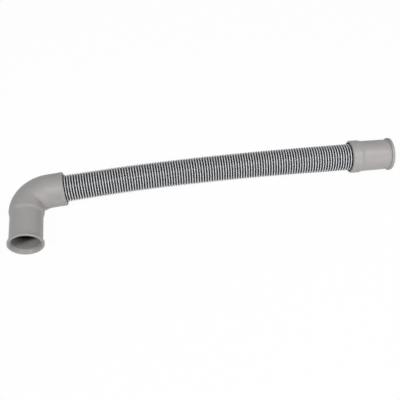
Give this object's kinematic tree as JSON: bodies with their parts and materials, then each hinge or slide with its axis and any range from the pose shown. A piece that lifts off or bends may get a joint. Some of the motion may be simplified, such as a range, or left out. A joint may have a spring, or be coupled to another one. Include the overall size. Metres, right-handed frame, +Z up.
{
  "type": "drain hose",
  "caption": "Ribbed drain hose that ends in a moulded elbow cuff and a straight push-on cuff, lying flat.",
  "frame": {"origin": "on the floor under the middle of the whole part's box", "axes": "+X from the elbow towards the straight cuff, +Z up, and the elbow's mouth faces -Y"},
  "size_m": [0.4013, 0.0823, 0.035],
  "materials": {
    "cuff_rubber": "matt moulded grey",
    "hose_plastic": "glossy ribbed light grey"
  },
  "bodies": {
    "root": {"elbow_cuff": "cuff_rubber", "corrugated_hose": "hose_plastic", "straight_cuff": "cuff_rubber"}
  },
  "joints": []
}
